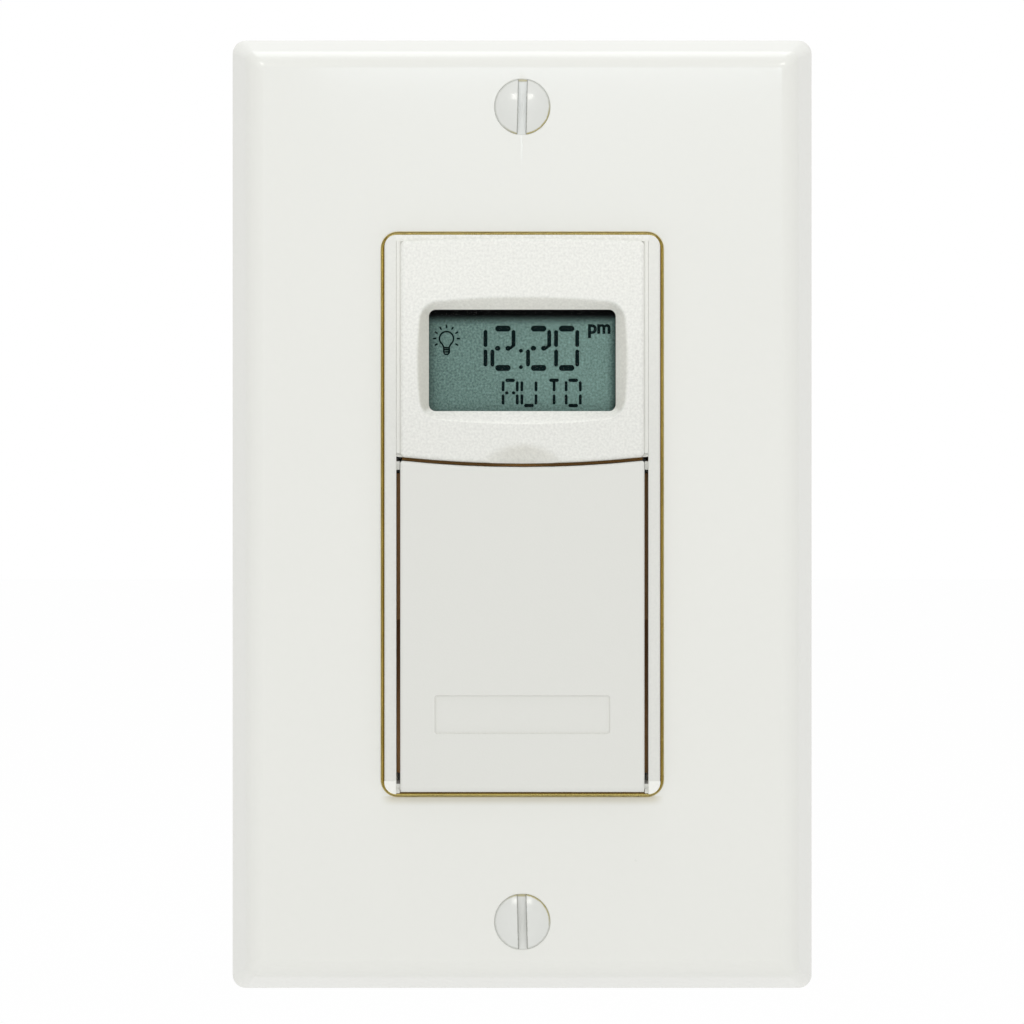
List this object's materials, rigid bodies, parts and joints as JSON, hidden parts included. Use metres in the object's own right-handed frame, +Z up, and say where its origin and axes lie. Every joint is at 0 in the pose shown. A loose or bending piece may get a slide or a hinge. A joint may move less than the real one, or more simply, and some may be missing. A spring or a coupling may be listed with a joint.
{
  "type": "timer light switch",
  "caption": "Wall-box timer switch for lights: bevelled plate, LCD above a hinged door that hides the buttons and battery tray, circuit boards in a housing behind the wall.",
  "frame": {"origin": "midpoint between the two box-screw holes, on the back plane of the mounting strap, which is the wall's face", "axes": "+X to the right as the user sees it, +Y into the wall, +Z up the wall; the face looks along -Y"},
  "size_m": [0.0698, 0.0427, 0.1142],
  "materials": {
    "plate_gloss": "smooth white moulded plastic with a soft gloss",
    "face_satin": "white moulded plastic with a fine satin grain",
    "door_satin": "white moulded plastic, smoother than the face",
    "screw_paint": "white paint over steel",
    "window_clear": "clear acrylic",
    "lcd_glass": "grey-green LCD glass",
    "lcd_film": "polarising film",
    "strip_rubber": "layered conductive rubber",
    "board_green": "glass-fibre board with green mask",
    "part_black": "black moulded plastic",
    "key_grey": "grey moulded plastic",
    "steel": "plated steel",
    "strap_zinc": "steel with yellow zinc plating",
    "brass": "brass",
    "nickel": "nickel plating",
    "cell_wrap": "blue shrink sleeve over a metal can",
    "relay_case": "black moulded case",
    "film_case": "yellow capacitor case",
    "can_sleeve": "black shrink sleeve",
    "varistor_coat": "blue dipped coating",
    "resistor_coat": "grey-green cement coating",
    "housing_black": "black flame-resistant plastic"
  },
  "bodies": {
    "switch_body": {"wall_plate": "plate_gloss", "plate_screws": "screw_paint", "front_frame": "face_satin", "display_window": "window_clear", "lcd_polariser": "lcd_film", "lcd_cell": "lcd_glass", "lcd_reflector": "lcd_film", "lcd_holder": "face_satin", "contact_strips": "strip_rubber", "control_board": "board_green", "control_board_screws": "steel", "tact_switches": "part_black", "microcontroller": "part_black", "clock_crystal": "nickel", "header_strips": "part_black", "header_pins": "brass", "battery_tray": "face_satin", "battery_cell": "cell_wrap", "battery_contacts": "nickel", "mounting_strap": "strap_zinc", "ground_terminal": "brass", "ground_rivet": "steel", "power_board": "board_green", "power_board_screws": "steel", "relay": "relay_case", "film_capacitor": "film_case", "electrolytic_capacitor": "can_sleeve", "varistor": "varistor_coat", "fusible_resistor": "resistor_coat", "rectifier_diodes": "part_black", "lead_posts": "brass", "rear_housing": "housing_black", "housing_screws": "steel"},
    "door": {"access_door": "door_satin"},
    "on_off": {"on_off_button": "key_grey", "on_off_plunger": "part_black"},
    "mode": {"mode_button": "key_grey", "mode_plunger": "part_black"},
    "plus": {"plus_button": "key_grey", "plus_plunger": "part_black"},
    "minus": {"minus_button": "key_grey", "minus_plunger": "part_black"},
    "reset": {"reset_button": "key_grey", "reset_plunger": "part_black"}
  },
  "joints": [
    {"name": "door_hinge", "type": "hinge", "parent": "switch_body", "child": "door", "pos_m": [0, -0.0063, -0.03195], "axis": [1, 0, 0], "range_deg": [-1.5, 115]},
    {"name": "on_off_press", "type": "slide", "parent": "switch_body", "child": "on_off", "axis": [0, 1, 0], "range_m": [0, 0.0005], "stiffness_N_per_m": 300, "springref_m": -0.0005},
    {"name": "mode_press", "type": "slide", "parent": "switch_body", "child": "mode", "axis": [0, 1, 0], "range_m": [0, 0.0005], "stiffness_N_per_m": 300, "springref_m": -0.0005},
    {"name": "plus_press", "type": "slide", "parent": "switch_body", "child": "plus", "axis": [0, 1, 0], "range_m": [0, 0.0005], "stiffness_N_per_m": 300, "springref_m": -0.0005},
    {"name": "minus_press", "type": "slide", "parent": "switch_body", "child": "minus", "axis": [0, 1, 0], "range_m": [0, 0.0005], "stiffness_N_per_m": 300, "springref_m": -0.0005},
    {"name": "reset_press", "type": "slide", "parent": "switch_body", "child": "reset", "axis": [0, 1, 0], "range_m": [0, 0.0005], "stiffness_N_per_m": 300, "springref_m": -0.0005}
  ]
}
